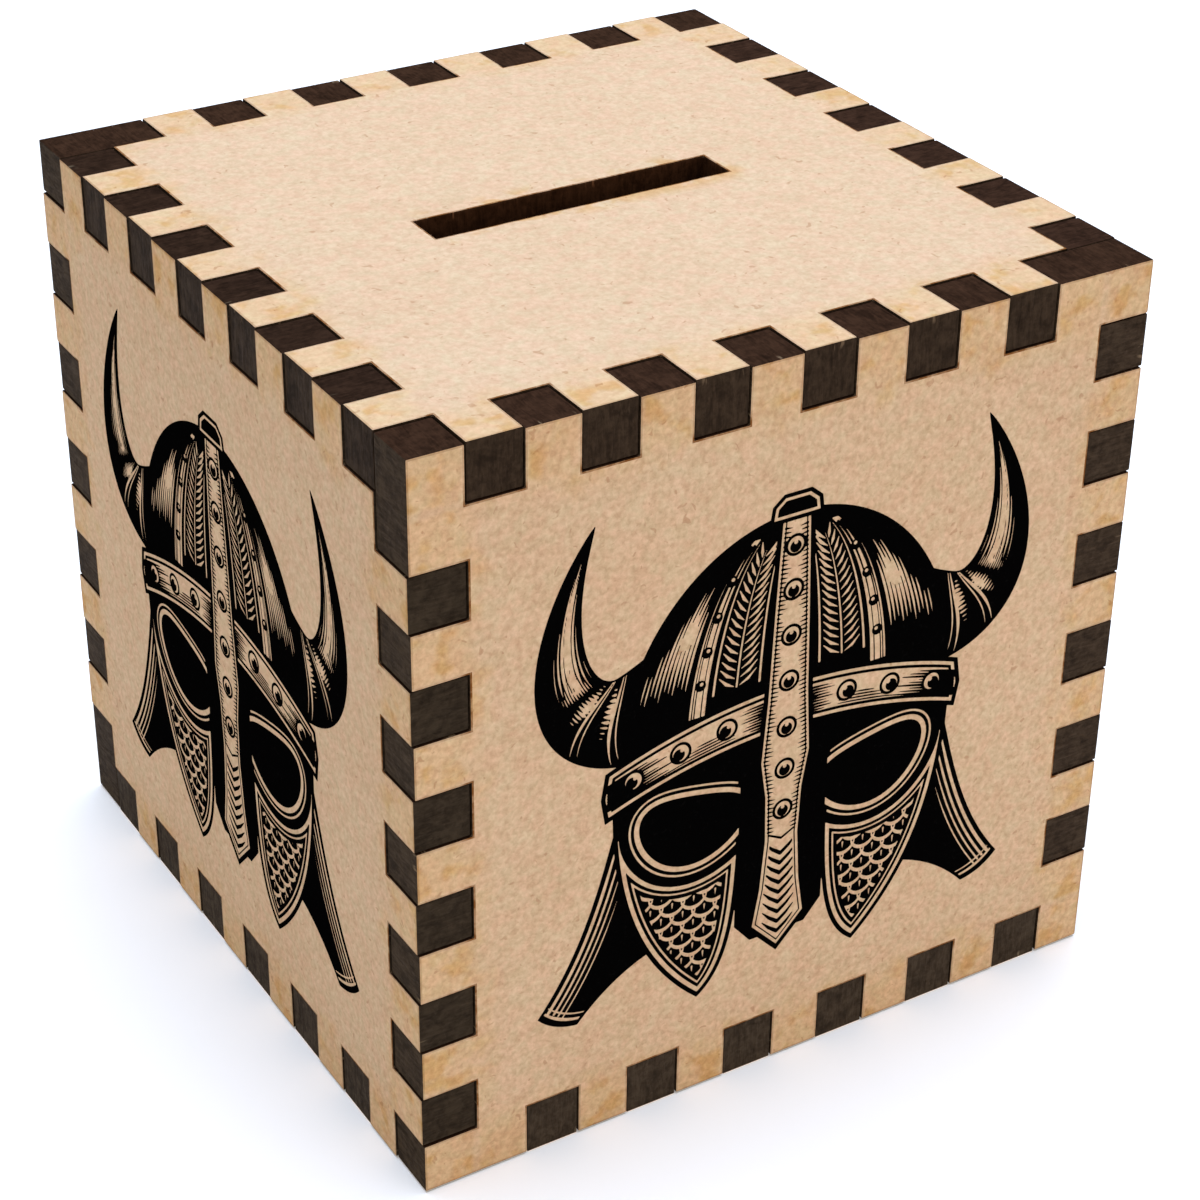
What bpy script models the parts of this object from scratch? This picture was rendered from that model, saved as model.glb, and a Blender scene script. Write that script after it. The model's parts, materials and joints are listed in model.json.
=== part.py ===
"""Finger-jointed wooden money box: six laser-cut boards and a rubber stopper.

Metres, +Z up. The origin is the middle of the underside, the slot runs along X, and the front
face looks along -Y. Every edge of the cube is divided into the same number of square cells.
A cell belongs to one of the boards that meet there, so each board is a flat outline of tabs
and notches, and its neighbours' tabs fill its notches.
"""

import math

import bpy

# The sheet, and the cube that is cut from it.
CELLS = 14
PITCH = 0.006
BOARD = 0.006
SIDE = CELLS * PITCH
JOINT_GAP = 0.00015
TAB_RECESS = 0.00015

# Coin slot, in the middle of the top board.
SLOT_LENGTH = 0.035
SLOT_WIDTH = 0.005

# Emptying hole, in the middle of the base board, and the stopper that fills it.
HOLE_RADIUS = 0.016
HOLE_POINTS = 72
STOPPER_RADIUS = 0.0157
STOPPER_TAPER = 0.0005
STOPPER_HEIGHT = 0.010
STOPPER_LIFT = 0.0003
STOPPER_EDGE = 0.0007
STOPPER_STEPS = 72
RIB_HEIGHTS = (0.0022, 0.0046)
RIB_DEPTH = 0.0002
RIB_WIDTH = 0.0008
CUP_RADIUS = 0.0112
CUP_DRAFT = 0.0006
CUP_FLOOR = 0.0045
DISH_RADIUS = 0.0128
DISH_DRAFT = 0.0007
DISH_FLOOR = 0.0024
GRIP_LENGTH = 0.0246
GRIP_WIDTH = 0.0030
GRIP_BOTTOM = 0.0008
GRIP_EDGE = 0.0004

# Cells that a board keeps along one edge, counted clockwise from outside the box.
CORNER_TABS = (1, 3, 5, 7, 9, 11, 13, 14)
EARLY_TABS = (2, 4, 6, 8, 10, 12)
LATE_TABS = (3, 5, 7, 9, 11, 13)

QUARTER = math.pi / 2
HALF = SIDE / 2
INSET = HALF - BOARD / 2


def clear_scene():
    for obj in list(bpy.data.objects):
        bpy.data.objects.remove(obj)


def new_collection(name):
    collection = bpy.data.collections.new(name)
    bpy.context.scene.collection.children.link(collection)
    return collection


def new_material(name, colour, roughness):
    material = bpy.data.materials.new(name)
    material.use_nodes = True
    shader = material.node_tree.nodes["Principled BSDF"]
    shader.inputs["Base Color"].default_value = (*colour, 1.0)
    shader.inputs["Roughness"].default_value = roughness
    shader.inputs["Metallic"].default_value = 0.0
    return material


def tab_side(cell, tab_first, owns_start, owns_end):
    """Where the side of a tab lies along an edge, between this cell and the next one."""
    root = BOARD + JOINT_GAP
    if cell == 1 and not owns_start:
        return root
    if cell == CELLS - 1 and not owns_end:
        return SIDE - root
    clearance = -JOINT_GAP / 2 if tab_first else JOINT_GAP / 2
    return cell * PITCH + clearance


def edge_points(tabs):
    """One edge of a board, as distances along it and inward from the cube's outer face."""
    owns_start, owns_end = 1 in tabs, CELLS in tabs
    depth = {True: TAB_RECESS, False: BOARD + JOINT_GAP}
    first, last = depth[owns_start], depth[owns_end]
    points = [(first, first)]
    for cell in range(1, CELLS):
        here, after = cell in tabs, cell + 1 in tabs
        if here != after:
            along = tab_side(cell, here, owns_start, owns_end)
            points += [(along, depth[here]), (along, depth[after])]
    points.append((SIDE - last, last))
    return points


def board_outline(edges):
    """The whole outline seen from outside the box: top, right, bottom and left edge."""
    outline = []
    for turn, tabs in enumerate(edges):
        cosine, sine = round(math.cos(turn * QUARTER)), round(math.sin(turn * QUARTER))
        for along, depth in edge_points(tabs):
            x, y = along - HALF, HALF - depth
            point = (x * cosine + y * sine, y * cosine - x * sine)
            if not outline or math.dist(outline[-1], point) > JOINT_GAP / 10:
                outline.append(point)
    if math.dist(outline[0], outline[-1]) < JOINT_GAP / 10:
        outline.pop()
    return outline


def slot_outline():
    x, y = SLOT_LENGTH / 2, SLOT_WIDTH / 2
    return [(-x, -y), (x, -y), (x, y), (-x, y)]


def hole_outline():
    angles = [2 * math.pi * step / HOLE_POINTS for step in range(HOLE_POINTS)]
    return [(HOLE_RADIUS * math.cos(a), HOLE_RADIUS * math.sin(a)) for a in angles]


def board_curve(name, edges, cut_out):
    """A flat sheet: the outline and its cut-out as closed splines, with half the thickness each way."""
    curve = bpy.data.curves.new(name, "CURVE")
    curve.dimensions = "2D"
    curve.fill_mode = "BOTH"
    curve.extrude = BOARD / 2
    for points in filter(None, (board_outline(edges), cut_out)):
        spline = curve.splines.new("POLY")
        spline.points.add(len(points) - 1)
        spline.use_cyclic_u = True
        for point, (x, y) in zip(spline.points, points):
            point.co = (x, y, 0.0, 1.0)
    return curve


def place(obj, parent, collection, location=(0, 0, 0), rotation=(0, 0, 0)):
    collection.objects.link(obj)
    obj.parent = parent
    obj.location = location
    obj.rotation_euler = rotation
    return obj


def make_boards(carcass, collection, wood):
    corner_edges = (CORNER_TABS,) * 4
    wall_edges = (EARLY_TABS, LATE_TABS) * 2
    flat_edges = (LATE_TABS, EARLY_TABS) * 2
    end_curve = board_curve("end_board", corner_edges, None)
    side_curve = board_curve("side_board", wall_edges, None)
    top_curve = board_curve("top_board", flat_edges, slot_outline())
    base_curve = board_curve("base_board", flat_edges, hole_outline())
    boards = (
        ("front_panel", end_curve, (0, -INSET, HALF), (QUARTER, 0, 0)),
        ("back_panel", end_curve, (0, INSET, HALF), (QUARTER, 0, 2 * QUARTER)),
        ("left_panel", side_curve, (-INSET, 0, HALF), (QUARTER, 0, -QUARTER)),
        ("right_panel", side_curve, (INSET, 0, HALF), (QUARTER, 0, QUARTER)),
        ("top_panel", top_curve, (0, 0, SIDE - BOARD / 2), (0, 0, 0)),
        ("base_panel", base_curve, (0, 0, BOARD / 2), (2 * QUARTER, 0, 0)),
    )
    for curve in (end_curve, side_curve, top_curve, base_curve):
        curve.materials.append(wood)
    for name, curve, location, rotation in boards:
        place(bpy.data.objects.new(name, curve), carcass, collection, location, rotation)


def stopper_profile():
    """Half section of the stopper from the cup's floor, over the rim, down its side, to the dish."""
    top = STOPPER_HEIGHT
    slope = STOPPER_TAPER / (top - STOPPER_LIFT)

    def side(height):
        return STOPPER_RADIUS - slope * (height - STOPPER_LIFT) - RIB_DEPTH

    points = [(0, CUP_FLOOR), (CUP_RADIUS - CUP_DRAFT, CUP_FLOOR), (CUP_RADIUS, top)]
    points += [(side(top) - STOPPER_EDGE, top), (side(top - STOPPER_EDGE), top - STOPPER_EDGE)]
    for height in reversed(RIB_HEIGHTS):
        above, below = height + RIB_WIDTH / 2, height - RIB_WIDTH / 2
        points += [(side(above), above), (side(height) + RIB_DEPTH, height), (side(below), below)]
    bottom_edge = STOPPER_LIFT + STOPPER_EDGE
    points += [(side(bottom_edge), bottom_edge), (side(STOPPER_LIFT) - STOPPER_EDGE, STOPPER_LIFT)]
    points += [(DISH_RADIUS, STOPPER_LIFT), (DISH_RADIUS - DISH_DRAFT, DISH_FLOOR), (0, DISH_FLOOR)]
    return points


def make_grip(helpers, carcass):
    """The bar moulded across the dish, which fingertips pinch to draw the stopper."""
    overlap = (CUP_FLOOR - DISH_FLOOR) / 2
    height = DISH_FLOOR + overlap - GRIP_BOTTOM
    bpy.ops.mesh.primitive_cube_add(size=1, location=(0, 0, GRIP_BOTTOM + height / 2))
    grip = bpy.context.object
    grip.name = "stopper_grip"
    for vertex in grip.data.vertices:
        vertex.co.x *= GRIP_LENGTH
        vertex.co.y *= GRIP_WIDTH
        vertex.co.z *= height
    bevel = grip.modifiers.new("soft_edges", "BEVEL")
    bevel.width = GRIP_EDGE
    bevel.segments = 2
    for collection in list(grip.users_collection):
        collection.objects.unlink(grip)
    helpers.objects.link(grip)
    grip.parent = carcass
    grip.hide_render = True
    grip.display_type = "WIRE"
    return grip


def make_stopper(carcass, collection, helpers, rubber):
    profile = stopper_profile()
    mesh = bpy.data.meshes.new("stopper")
    edges = [(i, i + 1) for i in range(len(profile) - 1)]
    mesh.from_pydata([(radius, 0, height) for radius, height in profile], edges, [])
    mesh.materials.append(rubber)
    stopper = place(bpy.data.objects.new("stopper", mesh), carcass, collection)
    turn = stopper.modifiers.new("turned", "SCREW")
    turn.steps = STOPPER_STEPS
    turn.render_steps = STOPPER_STEPS
    turn.use_merge_vertices = True
    turn.merge_threshold = 0.00001
    turn.use_smooth_shade = True
    join = stopper.modifiers.new("grip", "BOOLEAN")
    join.operation = "UNION"
    join.object = make_grip(helpers, carcass)


def main():
    clear_scene()
    collection = new_collection("money_box")
    helpers = new_collection("helpers")
    wood = new_material("mdf_board", (0.62, 0.44, 0.28), 0.75)
    rubber = new_material("stopper_rubber", (0.03, 0.03, 0.032), 0.6)
    carcass = place(bpy.data.objects.new("carcass", None), None, collection)
    make_boards(carcass, collection, wood)
    make_stopper(carcass, collection, helpers, rubber)


if __name__ == "__main__":
    main()
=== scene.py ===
"""Looks of the wooden money box: scorched fibreboard, printed emblem, rubber stopper and studio.

Laid out as a Blender add-on, and run as a script. Metres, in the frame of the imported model: +Z is
up, the front face looks along -Y, and the slot runs along X.
"""

import json
import math

import bmesh
import bpy
import numpy as np
from bpy.props import FloatProperty, FloatVectorProperty, PointerProperty
from mathutils import Euler, Matrix, Vector


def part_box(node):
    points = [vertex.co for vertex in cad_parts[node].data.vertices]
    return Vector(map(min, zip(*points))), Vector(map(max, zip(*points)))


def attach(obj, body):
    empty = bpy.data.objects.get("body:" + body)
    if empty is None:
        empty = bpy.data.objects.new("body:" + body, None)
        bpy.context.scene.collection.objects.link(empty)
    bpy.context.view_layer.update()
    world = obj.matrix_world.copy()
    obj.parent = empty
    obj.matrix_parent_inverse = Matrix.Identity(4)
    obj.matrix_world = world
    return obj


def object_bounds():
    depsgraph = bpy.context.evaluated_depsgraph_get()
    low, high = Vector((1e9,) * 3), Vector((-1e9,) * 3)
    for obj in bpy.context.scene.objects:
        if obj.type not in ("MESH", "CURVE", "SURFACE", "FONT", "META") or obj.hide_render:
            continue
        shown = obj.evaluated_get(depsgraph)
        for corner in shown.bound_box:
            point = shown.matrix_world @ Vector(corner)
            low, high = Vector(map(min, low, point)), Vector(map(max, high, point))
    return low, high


bl_info = {
    "name": "Wooden Money Box",
    "version": (1, 0, 0),
    "blender": (4, 5, 0),
    "location": "View3D > Sidebar > Money Box",
    "description": "Finishes the boards, the print and the stopper of a finger-jointed money box",
    "category": "Object",
}

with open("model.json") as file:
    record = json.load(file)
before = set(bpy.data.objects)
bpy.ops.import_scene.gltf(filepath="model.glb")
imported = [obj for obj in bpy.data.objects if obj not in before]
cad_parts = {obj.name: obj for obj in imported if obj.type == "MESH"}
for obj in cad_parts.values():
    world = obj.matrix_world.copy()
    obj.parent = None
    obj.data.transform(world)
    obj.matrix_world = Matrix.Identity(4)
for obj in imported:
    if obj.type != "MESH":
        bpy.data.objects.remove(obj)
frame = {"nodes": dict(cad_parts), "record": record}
CAD_BOX = [list(corner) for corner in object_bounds()]

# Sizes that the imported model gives. The slot reaches half its length and half its width from the
# middle, and as high as its top.
SIDE = CAD_BOX[1][0] - CAD_BOX[0][0]
HALF = SIDE / 2
TOP_LOW, TOP_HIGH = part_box("top_panel")
BOARD = TOP_HIGH.z - TOP_LOW.z
PITCH = SIDE / round(SIDE / BOARD)
MIDDLE = Vector((0.0, 0.0, HALF))
OPENINGS = {opening["name"]: opening["box_m"] for opening in frame["record"]["physics"]["openings"]}
SLOT_REACH = OPENINGS["coin_slot"][1]

# A millimetre, for whatever is finer than the boards.
MM = 0.001

# Each board: the way its outer face looks, the seed of its grain, the strength of its speckle, and
# the tint of its burnt edges, which differs a little from one cut to the next.
BOARDS = {
    "front_panel": ((0.0, -1.0, 0.0), 1.3, 1.4, (1.15, 1.10, 0.98)),
    "back_panel": ((0.0, 1.0, 0.0), 7.9, 1.4, (1.15, 1.10, 0.98)),
    "left_panel": ((-1.0, 0.0, 0.0), 3.1, 1.2, (0.88, 0.90, 0.86)),
    "right_panel": ((1.0, 0.0, 0.0), 5.7, 1.2, (1.12, 1.08, 1.04)),
    "top_panel": ((0.0, 0.0, 1.0), 9.2, 0.9, (0.93, 0.86, 0.80)),
    "base_panel": ((0.0, 0.0, -1.0), 11.6, 1.2, (1.25, 1.30, 1.32)),
}

# The printed walls, with the turn about the upright that takes the front face to each.
WALLS = {"front": 0.0, "left": -90.0, "back": 180.0, "right": 90.0}


# ---------------------------------------------------------------- node helpers


def feed(tree, socket, value):
    """Links a socket to an input, or sets the input to a plain value."""
    if isinstance(value, bpy.types.NodeSocket):
        tree.links.new(value, socket)
    else:
        socket.default_value = value


def add_math(tree, operation, first, second=0.0, third=0.0):
    """One step of arithmetic on sockets or plain values."""
    node = tree.nodes.new("ShaderNodeMath")
    node.operation = operation
    for socket, value in zip(node.inputs, (first, second, third)):
        feed(tree, socket, value)
    return node.outputs[0]


def add_vector_math(tree, operation, first, second=(0.0, 0.0, 0.0)):
    """One step of vector arithmetic. SCALE takes a plain factor as its second value."""
    node = tree.nodes.new("ShaderNodeVectorMath")
    node.operation = operation
    feed(tree, node.inputs[0], first)
    if operation == "SCALE":
        feed(tree, node.inputs["Scale"], second)
    elif operation not in ("ABSOLUTE", "LENGTH"):
        feed(tree, node.inputs[1], second)
    return node.outputs["Value" if operation in ("DOT_PRODUCT", "LENGTH") else "Vector"]


def add_noise(tree, place, size, detail=2.0, roughness=0.5, distortion=0.0):
    """Noise with features about this size, in metres. Gives 0 to 1."""
    node = tree.nodes.new("ShaderNodeTexNoise")
    feed(tree, node.inputs["Vector"], place)
    node.inputs["Scale"].default_value = 1.0 / size
    node.inputs["Detail"].default_value = detail
    node.inputs["Roughness"].default_value = roughness
    node.inputs["Distortion"].default_value = distortion
    return node.outputs["Fac"]


def add_range(tree, value, low, high, to_low=0.0, to_high=1.0, smooth=True):
    """Maps low..high to to_low..to_high and holds the ends."""
    node = tree.nodes.new("ShaderNodeMapRange")
    node.interpolation_type = "SMOOTHSTEP" if smooth else "LINEAR"
    feed(tree, node.inputs["Value"], value)
    feed(tree, node.inputs["From Min"], low)
    feed(tree, node.inputs["From Max"], high)
    feed(tree, node.inputs["To Min"], to_low)
    feed(tree, node.inputs["To Max"], to_high)
    return node.outputs["Result"]


def add_mix(tree, factor, first, second, blend="MIX"):
    """Blends two colours, or with "MULTIPLY" tints the first by the second."""
    node = tree.nodes.new("ShaderNodeMix")
    node.data_type = "RGBA"
    node.blend_type = blend
    feed(tree, node.inputs["Factor"], factor)
    feed(tree, node.inputs["A"], first)
    feed(tree, node.inputs["B"], second)
    return node.outputs["Result"]


def add_bump(tree, height, distance, normal=None):
    """Relief from a height mask that spans this distance, in metres, over an earlier normal."""
    node = tree.nodes.new("ShaderNodeBump")
    node.inputs["Strength"].default_value = 1.0
    node.inputs["Distance"].default_value = distance
    feed(tree, node.inputs["Height"], height)
    if normal is not None:
        feed(tree, node.inputs["Normal"], normal)
    return node.outputs["Normal"]


def mix_shaders(tree, factor, first, second):
    """Shows the first shader where the factor is 0, and the second where it is 1."""
    node = tree.nodes.new("ShaderNodeMixShader")
    for source, socket in zip((factor, first.outputs[0], second.outputs[0]), node.inputs):
        tree.links.new(source, socket)
    return node.outputs["Shader"]


def new_group(name, vectors, values):
    """A shader node group with these inputs: its tree, and the sockets that bring them by name."""
    tree = bpy.data.node_groups.new(name, "ShaderNodeTree")
    for labels, kind in ((vectors, "NodeSocketVector"), (values, "NodeSocketFloat")):
        for label in labels:
            tree.interface.new_socket(label, in_out="INPUT", socket_type=kind)
    return tree, tree.nodes.new("NodeGroupInput").outputs


def give_results(tree, results):
    """Makes the named outputs of a shader node group, and links each to its value."""
    for label in results:
        tree.interface.new_socket(label, in_out="OUTPUT", socket_type="NodeSocketFloat")
    leaving = tree.nodes.new("NodeGroupOutput")
    for label, value in results.items():
        tree.links.new(value, leaving.inputs[label])


def seeded_place(tree, given, shift):
    """A group's position, moved by its seed so that no two boards look alike."""
    moved = add_vector_math(tree, "SCALE", shift, given["Seed"])
    return add_vector_math(tree, "ADD", given["Position"], moved)


def place_group(tree, group, **values):
    """Puts a group in a material. Its inputs are given by name, with _ for a space."""
    node = tree.nodes.new("ShaderNodeGroup")
    node.node_tree = group
    for name, value in values.items():
        feed(tree, node.inputs[name.replace("_", " ")], value)
    return node.outputs


def new_material(name):
    """A material with its shader and the sockets that give object position and normal."""
    material = bpy.data.materials.new(name)
    material.use_nodes = True
    tree = material.node_tree
    shader = tree.nodes["Principled BSDF"]
    place = tree.nodes.new("ShaderNodeTexCoord")
    return material, tree, shader, place.outputs["Object"], place.outputs["Normal"]


def colour4(colour):
    """The colour with full alpha, as a colour socket takes it."""
    return (*colour, 1.0)


def tinted(colour, red, green, blue):
    """The colour with each of its channels scaled, as a colour socket takes it."""
    return colour4((colour[0] * red, colour[1] * green, colour[2] * blue))


# ---------------------------------------------------------------- object helpers


def add_object(name, data):
    """Puts a new object in the scene."""
    obj = bpy.data.objects.new(name, data)
    bpy.context.scene.collection.objects.link(obj)
    return obj


def set_material(obj, material):
    """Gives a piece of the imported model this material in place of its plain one."""
    obj.material_slots[0].link = "OBJECT"
    obj.material_slots[0].material = material


# ---------------------------------------------------------------- shared effects


def fibre_grain_group():
    """Pressed wood fibre: soft clouds, tone, fine speckle, flecks, pale fibres and their relief."""
    tree, given = new_group("Fibre Grain", ("Position",), ("Seed",))
    place = seeded_place(tree, given, (0.31, 0.17, 0.23))
    broad = add_noise(tree, place, 9 * MM)
    small = add_noise(tree, place, 2.2 * MM, detail=3.0, roughness=0.6, distortion=0.4)
    cloud = add_math(tree, "MULTIPLY_ADD", broad, 0.4, add_math(tree, "MULTIPLY", small, 0.6))
    speckle = add_noise(tree, place, 0.62 * MM, detail=3.0, roughness=0.62, distortion=0.3)
    other = add_vector_math(tree, "ADD", place, (0.4, 0.9, 0.2))
    tone = add_noise(tree, other, 1.7 * MM, distortion=0.5)
    strands = add_noise(tree, other, 0.85 * MM, distortion=3.0)
    bundles = add_noise(tree, other, 0.95 * MM, detail=1.0, distortion=0.7)
    fleck = add_range(tree, bundles, 0.69, 0.76)
    pale = add_range(tree, strands, 0.40, 0.28)
    height = add_math(tree, "SUBTRACT", add_math(tree, "MULTIPLY_ADD", pale, 0.5, speckle), fleck)
    results = {
        "Cloud": cloud,
        "Tone": tone,
        "Speckle": speckle,
        "Dark Fleck": fleck,
        "Pale Fibre": pale,
        "Height": height,
    }
    give_results(tree, results)
    return tree


def edge_scorch_group():
    """Smoke stain beside the cube's edges: a soft halo, paler against a cut, and blots inside it.
    Inward is the distance from the nearest edge of the cube."""
    tree, given = new_group("Edge Scorch", ("Position",), ("Seed", "Reach"))
    centred = add_vector_math(tree, "SUBTRACT", given["Position"], tuple(MIDDLE))
    split = tree.nodes.new("ShaderNodeSeparateXYZ")
    tree.links.new(add_vector_math(tree, "ABSOLUTE", centred), split.inputs[0])
    x, y, z = split.outputs
    largest = add_math(tree, "MAXIMUM", add_math(tree, "MAXIMUM", x, y), z)
    smallest = add_math(tree, "MINIMUM", add_math(tree, "MINIMUM", x, y), z)
    total = add_math(tree, "ADD", add_math(tree, "ADD", x, y), z)
    second = add_math(tree, "SUBTRACT", add_math(tree, "SUBTRACT", total, largest), smallest)
    inward = add_math(tree, "SUBTRACT", HALF, second)
    place = seeded_place(tree, given, (0.11, 0.29, 0.37))
    smoke = add_noise(tree, place, 5.5 * MM, detail=3.0, roughness=0.6, distortion=0.4)
    ragged = add_math(tree, "MULTIPLY_ADD", add_math(tree, "SUBTRACT", smoke, 0.5), 9 * MM, inward)
    near = add_math(tree, "MULTIPLY", given["Reach"], 0.35)
    halo = add_range(tree, ragged, near, given["Reach"], 1.0, 0.0)
    # The laser's air jet keeps a narrow strip clean along the sides of every tab.
    to_side = add_math(tree, "PINGPONG", smallest, PITCH / 2)
    past_root = add_math(tree, "SUBTRACT", inward, BOARD)
    to_cut = add_math(tree, "MAXIMUM", to_side, past_root)
    halo = add_math(tree, "MULTIPLY", halo, add_range(tree, to_cut, 0.1 * MM, 0.8 * MM, 0.25, 1.0))
    spots = add_noise(tree, place, 3.0 * MM, distortion=0.25)
    blot = add_math(tree, "MULTIPLY", add_range(tree, spots, 0.48, 0.66), halo)
    give_results(tree, {"Halo": halo, "Blot": blot, "Inward": inward})
    return tree


def laser_cut_group():
    """Where the laser has cut: the charred wall, the scorched lip of the outer face, the streaks,
    soot and chips of the wall, and a mask of the ends that face up, for painted shade."""
    tree, given = new_group("Laser Cut", ("Position", "Normal", "Outward"), ("Seed",))
    facing = add_vector_math(tree, "DOT_PRODUCT", given["Normal"], given["Outward"])
    not_inside = add_range(tree, facing, -0.9995, -0.995)
    wall = add_math(tree, "MULTIPLY", add_range(tree, facing, 0.55, 0.15), not_inside)
    off_face = add_range(tree, facing, 0.9985, 0.994)
    lip = add_math(tree, "MULTIPLY", off_face, add_range(tree, facing, 0.15, 0.55))
    place = seeded_place(tree, given, (0.23, 0.19, 0.13))
    # Streaks are drawn out through the sheet: the noise is pressed nearly flat along its depth.
    depth = add_vector_math(tree, "DOT_PRODUCT", place, given["Outward"])
    pressed = add_math(tree, "MULTIPLY", depth, -0.84)
    flat = add_vector_math(tree, "SCALE", given["Outward"], pressed)
    drawn_out = add_vector_math(tree, "ADD", place, flat)
    streak = add_noise(tree, drawn_out, 0.42 * MM, detail=4.0, roughness=0.72, distortion=0.6)
    soot = add_noise(tree, place, 1.9 * MM, detail=4.0, roughness=0.62, distortion=0.8)
    # Chips where the burnt skin has come off, all within a short way of the outer face.
    centred = add_vector_math(tree, "SUBTRACT", given["Position"], tuple(MIDDLE))
    height = add_vector_math(tree, "DOT_PRODUCT", centred, given["Outward"])
    buried = add_math(tree, "SUBTRACT", HALF, height)
    # Painted shade: a mask of the cut ends that face up, which the char colour darkens and reddens.
    upward = add_vector_math(tree, "DOT_PRODUCT", given["Normal"], (0.0, 0.0, 1.0))
    flaw = add_noise(tree, drawn_out, 1.0 * MM, distortion=1.0)
    shallow = add_range(tree, buried, 0.35 * MM, 0.95 * MM, 1.0, 0.0)
    results = {
        "Wall": wall,
        "Lip": lip,
        "Streak": streak,
        "Soot": soot,
        "Chip": add_math(tree, "MULTIPLY", add_range(tree, flaw, 0.66, 0.72), shallow),
        "Upward Shade": add_range(tree, upward, 0.5, 0.9),
    }
    give_results(tree, results)
    return tree


# ---------------------------------------------------------------- boards


class MoneyBoxBoardLook(bpy.types.PropertyGroup):
    """Colours of the fibreboard and of its laser-cut edges"""

    board: FloatVectorProperty(
        name="Board",
        description="Colour of the bare fibreboard",
        subtype="COLOR",
        default=(0.615, 0.432, 0.272),
        min=0.0,
        max=1.0,
    )
    smoke: FloatVectorProperty(
        name="Smoke",
        description="Tint that smoke leaves on the board beside a cut",
        subtype="COLOR",
        default=(1.0, 0.965, 0.87),
        min=0.0,
        max=1.0,
    )
    blot: FloatVectorProperty(
        name="Blot",
        description="Tint of the darker blots inside the smoke stain",
        subtype="COLOR",
        default=(0.915, 0.815, 0.62),
        min=0.0,
        max=1.0,
    )
    char: FloatVectorProperty(
        name="Char",
        description="Colour of a cut edge, burnt by the laser",
        subtype="COLOR",
        default=(0.0335, 0.0228, 0.0150),
        min=0.0,
        max=1.0,
    )
    lip: FloatVectorProperty(
        name="Lip",
        description="Colour of the scorched lip where a face meets a cut",
        subtype="COLOR",
        default=(0.20, 0.078, 0.021),
        min=0.0,
        max=1.0,
    )
    smoke_reach: FloatProperty(
        name="Smoke Reach",
        description="How far the smoke stain spreads inward from the cube's edges",
        subtype="DISTANCE",
        unit="LENGTH",
        default=1.5 * BOARD,
        min=0.0,
    )
    lip_width: FloatProperty(
        name="Lip Width",
        description="Width of the scorched lip along every cut",
        subtype="DISTANCE",
        unit="LENGTH",
        default=0.21 * MM,
        min=0.0,
    )


def board_face_colour(tree, grain, scorch, speckling, look):
    """Bare board with its grain, tinted by smoke beside the cuts."""
    board = look.board
    colour = add_mix(
        tree,
        add_range(tree, grain["Cloud"], 0.36, 0.64, smooth=False),
        tinted(board, 0.98, 0.955, 0.94),
        tinted(board, 1.02, 1.035, 1.045),
    )
    tone = add_mix(
        tree,
        add_range(tree, grain["Tone"], 0.34, 0.66, smooth=False),
        (1.025, 0.975, 0.985, 1.0),
        (0.975, 1.015, 1.0, 1.0),
    )
    colour = add_mix(tree, 1.0, colour, tone, "MULTIPLY")
    speckle = add_mix(
        tree,
        add_range(tree, grain["Speckle"], 0.30, 0.70, smooth=False),
        colour4(1.0 + speckling * change for change in (-0.11, -0.14, -0.165)),
        colour4(1.0 + speckling * change for change in (0.10, 0.125, 0.15)),
    )
    colour = add_mix(tree, 1.0, colour, speckle, "MULTIPLY")
    dark = add_math(tree, "MULTIPLY", grain["Dark Fleck"], 0.55)
    colour = add_mix(tree, dark, colour, tinted(board, 0.66, 0.50, 0.42))
    pale = add_math(tree, "MULTIPLY", grain["Pale Fibre"], 0.30)
    colour = add_mix(tree, pale, colour, tinted(board, 1.14, 1.14, 1.14))
    colour = add_mix(tree, scorch["Halo"], colour, colour4(look.smoke), "MULTIPLY")
    return add_mix(tree, scorch["Blot"], colour, colour4(look.blot), "MULTIPLY")


def slot_stain(tree, place):
    """Golden patches of smoke that the coin slot's cut has left close round it."""
    # Height plays no part, so the slot counts as one metre deep.
    reach = (SLOT_REACH[0], SLOT_REACH[1], 1.0)
    beside = add_vector_math(tree, "ABSOLUTE", place)
    outside = add_vector_math(tree, "SUBTRACT", beside, reach)
    gap = add_vector_math(tree, "LENGTH", add_vector_math(tree, "MAXIMUM", outside))
    close = add_range(tree, gap, 0.5 * MM, 3.2 * MM, 1.0, 0.0)
    spots = add_noise(tree, place, 4.6 * MM, detail=3.0, roughness=0.55, distortion=0.5)
    return add_math(tree, "MULTIPLY", close, add_range(tree, spots, 0.48, 0.62))


def charred_colour(tree, cut, grain, char):
    """Burnt cut edge: soot, with streaks that run through the thickness of the sheet, and painted
    shade that darkens and reddens the ends that face up.
    """
    colour = add_mix(
        tree,
        add_range(tree, cut["Streak"], 0.30, 0.70, smooth=False),
        colour4(char * 0.58),
        colour4(char * 1.48),
    )
    speckle = add_mix(
        tree,
        add_range(tree, grain["Speckle"], 0.30, 0.70, smooth=False),
        (0.74, 0.72, 0.70, 1.0),
        (1.26, 1.28, 1.30, 1.0),
    )
    colour = add_mix(tree, 1.0, colour, speckle, "MULTIPLY")
    ash = add_range(tree, cut["Soot"], 0.47, 0.68, 0.0, 0.55)
    colour = add_mix(tree, ash, colour, tinted(char, 1.7, 1.75, 1.75))
    burn = add_range(tree, cut["Soot"], 0.46, 0.30, 0.0, 0.6)
    colour = add_mix(tree, burn, colour, colour4(char * 0.45))
    # Painted shade: the cut ends that face up are painted a darker, redder brown, to offset the
    # strong cool light from above.
    colour = add_mix(tree, cut["Upward Shade"], colour, (0.74, 0.52, 0.48, 1.0), "MULTIPLY")
    chip = add_math(tree, "MULTIPLY", cut["Chip"], 0.55)
    return add_mix(tree, chip, colour, tinted(char, 6.0, 6.4, 6.4))


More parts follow.
